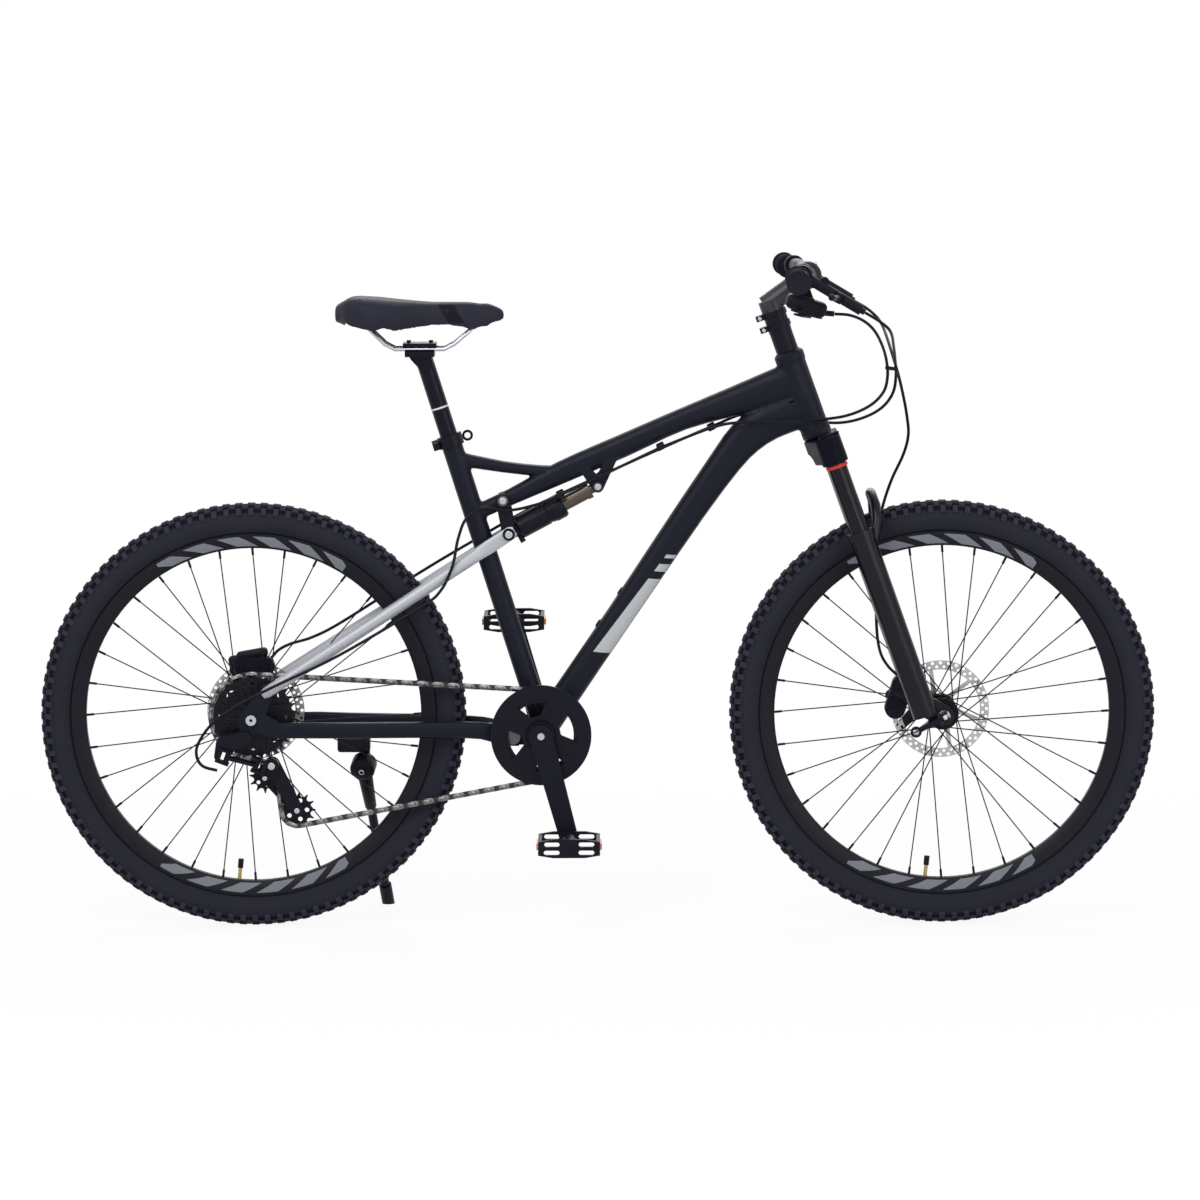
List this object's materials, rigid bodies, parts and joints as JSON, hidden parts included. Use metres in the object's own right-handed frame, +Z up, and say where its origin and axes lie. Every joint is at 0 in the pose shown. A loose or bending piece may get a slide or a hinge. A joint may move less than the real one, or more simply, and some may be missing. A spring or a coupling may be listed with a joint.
{
  "type": "full suspension mountain bike",
  "caption": "Mountain bike with a sprung fork, four-bar rear suspension, disc brakes, knobby tyres, derailleur gears, chain guard, padded saddle and kickstand.",
  "frame": {"origin": "on the ground under the middle of the wheelbase, in the bike's middle plane", "axes": "+X forward along the wheelbase, +Y to the bike's left, away from the drive side, +Z up"},
  "size_m": [1.822, 0.691, 1.0898],
  "materials": {
    "frame_paint": "matte blue-black paint",
    "black_metal": "satin black anodised",
    "fork_paint": "satin black",
    "bright_steel": "bright bolts and rotors",
    "stay_silver": "brushed silver",
    "shaft_bronze": "bronze-grey anodised",
    "drive_steel": "dark oiled steel",
    "spoke_black": "black steel",
    "tyre": "black rubber with knobs",
    "soft_black": "soft black rubber",
    "saddle_cover": "black padded cover",
    "saddle_shell": "moulded shell with bright rails",
    "black_plastic": "black moulded plastic"
  },
  "bodies": {
    "frame": {"head_tube": "frame_paint", "top_tube": "frame_paint", "down_tube": "frame_paint", "seat_tube": "frame_paint", "bottom_bracket": "frame_paint", "seat_clamp": "black_metal", "pivot_bolts": "bright_steel", "shift_housing": "soft_black", "rear_brake_hose": "soft_black"},
    "seat_clamp_lever": {"seat_clamp_lever": "black_metal"},
    "seat": {"seatpost": "black_metal", "saddle_base": "saddle_shell", "saddle_pad": "saddle_cover"},
    "steering": {"fork_crown": "black_metal", "stanchions": "bright_steel", "stem": "black_metal", "handlebar": "black_metal", "grips": "soft_black", "control_bodies": "black_metal", "front_brake_hose": "soft_black"},
    "right_brake_lever": {"right_brake_lever": "black_metal"},
    "left_brake_lever": {"left_brake_lever": "black_metal"},
    "shift_lever": {"shift_lever": "black_plastic"},
    "lowers": {"fork_lowers": "fork_paint", "front_caliper": "black_metal", "front_skewer": "black_metal"},
    "front_qr_lever": {"front_qr_lever": "black_metal"},
    "front_wheel": {"front_tyre": "tyre", "front_rim": "black_metal", "front_spokes": "spoke_black", "front_hub": "black_metal", "front_rotor": "bright_steel"},
    "swingarm": {"chain_stays": "frame_paint", "dropouts": "frame_paint", "rear_axle": "bright_steel", "rear_caliper": "black_metal", "derailleur_body": "black_metal", "chain": "drive_steel"},
    "rear_wheel": {"rear_tyre": "tyre", "rear_rim": "black_metal", "rear_spokes": "spoke_black", "rear_hub": "black_metal", "rear_rotor": "bright_steel"},
    "kickstand": {"kickstand": "black_metal"},
    "seat_stays": {"seat_stays": "stay_silver"},
    "rocker": {"rocker": "frame_paint"},
    "shock_can": {"shock_can": "black_metal"},
    "shock_shaft": {"shock_shaft": "shaft_bronze"},
    "cassette": {"cassette": "drive_steel"},
    "crank": {"chainring": "drive_steel", "chain_guard": "black_plastic", "crank_arms": "black_metal"},
    "right_pedal": {"right_pedal": "black_metal"},
    "left_pedal": {"left_pedal": "black_metal"},
    "derailleur_inner_link": {"derailleur_inner_link": "black_metal"},
    "derailleur_outer_link": {"derailleur_outer_link": "black_metal"},
    "derailleur_knuckle": {"derailleur_knuckle": "black_metal"},
    "derailleur_cage": {"derailleur_cage": "black_metal"},
    "guide_pulley": {"guide_pulley": "black_plastic"},
    "tension_pulley": {"tension_pulley": "black_plastic"}
  },
  "joints": [
    {"name": "steer", "type": "hinge", "parent": "frame", "child": "steering", "pos_m": [0.33536, 0, 0.87101], "axis": [-0.3338, 0, 0.9426], "range_deg": [-55, 55], "deforming": ["shift_housing", "rear_brake_hose"]},
    {"name": "fork_travel", "type": "slide", "parent": "steering", "child": "lowers", "axis": [-0.3338, 0, 0.9426], "range_m": [0, 0.1], "stiffness_N_per_m": 8000, "springref_m": -0.012, "deforming": ["front_brake_hose"]},
    {"name": "front_wheel_spin", "type": "hinge", "parent": "lowers", "child": "front_wheel", "pos_m": [0.563, 0, 0.348], "axis": [0, 1, 0], "continuous": true},
    {"name": "front_qr_flip", "type": "hinge", "parent": "lowers", "child": "front_qr_lever", "pos_m": [0.563, -0.08, 0.348], "axis": [-0.454, 0, 0.891], "range_deg": [0, 150]},
    {"name": "right_brake_pull", "type": "hinge", "parent": "steering", "child": "right_brake_lever", "pos_m": [0.38531, -0.198, 1.03552], "axis": [-0.4558, 0, -0.8901], "range_deg": [0, 20], "stiffness_Nm_per_rad": 1.5, "springref_deg": -11.46},
    {"name": "left_brake_pull", "type": "hinge", "parent": "steering", "child": "left_brake_lever", "pos_m": [0.38531, 0.198, 1.03552], "axis": [0.4558, 0, 0.8901], "range_deg": [0, 20], "stiffness_Nm_per_rad": 1.5, "springref_deg": -11.46},
    {"name": "shift_push", "type": "hinge", "parent": "steering", "child": "shift_lever", "pos_m": [0.33862, -0.148, 1.01565], "axis": [-0.2672, 0, -0.9636], "range_deg": [0, 30], "stiffness_Nm_per_rad": 0.8, "springref_deg": -11.46},
    {"name": "seat_height", "type": "slide", "parent": "frame", "child": "seat", "axis": [-0.3007, 0, 0.9537], "range_m": [-0.06, 0.06]},
    {"name": "seat_clamp_flip", "type": "hinge", "parent": "frame", "child": "seat_clamp_lever", "pos_m": [-0.26044, 0.024, 0.78719], "axis": [-0.3007, 0, 0.9537], "range_deg": [0, 120]},
    {"name": "swing", "type": "hinge", "parent": "frame", "child": "swingarm", "pos_m": [-0.1395, 0, 0.314], "axis": [0, 1, 0], "range_deg": [0, 6.5], "stiffness_Nm_per_rad": 2600, "springref_deg": -1.72},
    {"name": "seat_stay_pivot", "type": "hinge", "parent": "swingarm", "child": "seat_stays", "pos_m": [-0.537, 0, 0.393], "axis": [0, 1, 0], "range_deg": [-2.1, 0]},
    {"name": "rocker_pivot", "type": "hinge", "parent": "frame", "child": "rocker", "pos_m": [-0.153, 0, 0.699], "axis": [0, 1, 0], "range_deg": [-33.8, 0]},
    {"name": "shock_lower_eye", "type": "hinge", "parent": "rocker", "child": "shock_can", "pos_m": [-0.14349, 0, 0.64452], "axis": [0, 1, 0], "range_deg": [0, 32.9]},
    {"name": "shock_upper_eye", "type": "hinge", "parent": "frame", "child": "shock_shaft", "pos_m": [0.00158, 0, 0.72101], "axis": [0, 1, 0], "range_deg": [-1, 0]},
    {"name": "rear_wheel_spin", "type": "hinge", "parent": "swingarm", "child": "rear_wheel", "pos_m": [-0.563, 0, 0.348], "axis": [0, 1, 0], "continuous": true},
    {"name": "crank_spin", "type": "hinge", "parent": "frame", "child": "crank", "pos_m": [-0.0925, 0, 0.3185], "axis": [0, 1, 0], "continuous": true, "deforming": ["chain"]},
    {"name": "cassette_spin", "type": "hinge", "parent": "swingarm", "child": "cassette", "pos_m": [-0.563, -0.044, 0.348], "axis": [0, 1, 0], "continuous": true},
    {"name": "right_pedal_spin", "type": "hinge", "parent": "crank", "child": "right_pedal", "pos_m": [-0.04721, -0.12, 0.14946], "axis": [0, 1, 0], "continuous": true},
    {"name": "left_pedal_spin", "type": "hinge", "parent": "crank", "child": "left_pedal", "pos_m": [-0.13779, 0.12, 0.48754], "axis": [0, 1, 0], "continuous": true},
    {"name": "kickstand_fold", "type": "hinge", "parent": "swingarm", "child": "kickstand", "pos_m": [-0.3875, 0.072, 0.252], "axis": [0.1619, 0.8645, 0.4758], "range_deg": [0, 100]},
    {"name": "derailleur_shift", "type": "hinge", "parent": "swingarm", "child": "derailleur_outer_link", "pos_m": [-0.602, -0.091, 0.288], "axis": [-0.3534, 0, -0.9355], "range_deg": [0, 29], "stiffness_Nm_per_rad": 1, "springref_deg": -17.19},
    {"name": "derailleur_inner_pivot", "type": "hinge", "parent": "swingarm", "child": "derailleur_inner_link", "pos_m": [-0.602, -0.077, 0.288], "axis": [-0.3534, 0, -0.9355], "range_deg": [0, 29]},
    {"name": "derailleur_knuckle_pivot", "type": "hinge", "parent": "derailleur_outer_link", "child": "derailleur_knuckle", "pos_m": [-0.557, -0.057, 0.271], "axis": [-0.3534, 0, -0.9355], "range_deg": [-29, 0]},
    {"name": "derailleur_cage_swing", "type": "hinge", "parent": "derailleur_knuckle", "child": "derailleur_cage", "pos_m": [-0.532, -0.045, 0.27], "axis": [0, -1, 0], "range_deg": [0, 35], "stiffness_Nm_per_rad": 0.4, "springref_deg": -34.38},
    {"name": "guide_pulley_spin", "type": "hinge", "parent": "derailleur_cage", "child": "guide_pulley", "pos_m": [-0.54426, -0.027, 0.24737], "axis": [0, 1, 0], "continuous": true},
    {"name": "tension_pulley_spin", "type": "hinge", "parent": "derailleur_cage", "child": "tension_pulley", "pos_m": [-0.49219, -0.027, 0.19375], "axis": [0, 1, 0], "continuous": true}
  ],
  "couplings": [
    {"joint": "seat_stay_pivot", "follows": "swing", "ratio": -0.31},
    {"joint": "rocker_pivot", "follows": "swing", "ratio": -5.18},
    {"joint": "shock_lower_eye", "follows": "swing", "ratio": 5.04},
    {"joint": "shock_upper_eye", "follows": "swing", "ratio": -0.14},
    {"joint": "cassette_spin", "follows": "crank_spin", "ratio": 1.0588},
    {"joint": "guide_pulley_spin", "follows": "crank_spin", "ratio": -3.2727},
    {"joint": "tension_pulley_spin", "follows": "crank_spin", "ratio": 2.7692},
    {"joint": "derailleur_inner_pivot", "follows": "derailleur_shift", "ratio": 1},
    {"joint": "derailleur_knuckle_pivot", "follows": "derailleur_shift", "ratio": -1}
  ]
}
